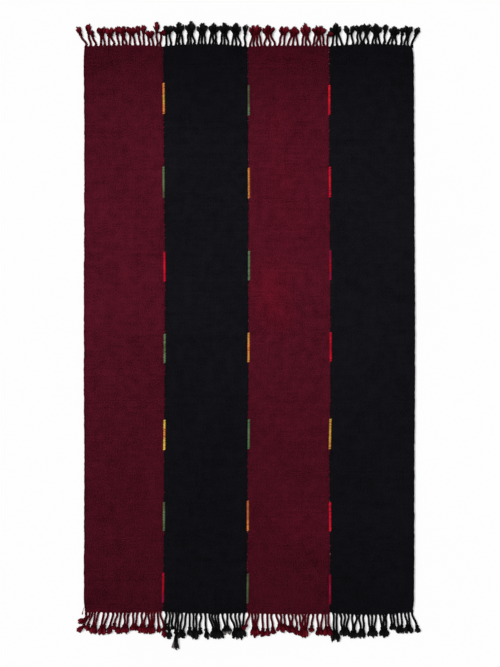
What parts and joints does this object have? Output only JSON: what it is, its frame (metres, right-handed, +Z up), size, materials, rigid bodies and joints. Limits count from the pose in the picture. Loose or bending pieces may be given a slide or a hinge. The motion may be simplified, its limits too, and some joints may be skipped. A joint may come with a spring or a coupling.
{
  "type": "kilim runner",
  "caption": "Flat woven wool floor rug of narrow burgundy and black strips joined by coloured seams, with knotted fringes at both ends.",
  "frame": {"origin": "on the ground under the middle of the rug's box, fringes included", "axes": "+X across the rug from the burgundy selvedge to the black one, +Y along it, +Z up out of its face"},
  "size_m": [1.1695, 2.13, 0.011],
  "materials": {
    "burgundy_wool": "matt woven wool, dark wine red with soft lighter and darker bars",
    "black_wool": "matt woven wool, near black",
    "burgundy_yarn": "twisted wool yarn, dark wine red",
    "black_yarn": "twisted wool yarn, near black"
  },
  "bodies": {
    "root": {"panel_1": "burgundy_wool", "panel_2": "black_wool", "panel_3": "burgundy_wool", "panel_4": "black_wool", "fringe_top_1": "burgundy_yarn", "fringe_top_2": "black_yarn", "fringe_top_3": "burgundy_yarn", "fringe_top_4": "black_yarn", "fringe_bottom_1": "burgundy_yarn", "fringe_bottom_2": "black_yarn", "fringe_bottom_2_long": "black_yarn", "fringe_bottom_3": "burgundy_yarn", "fringe_bottom_4": "black_yarn"}
  },
  "joints": []
}
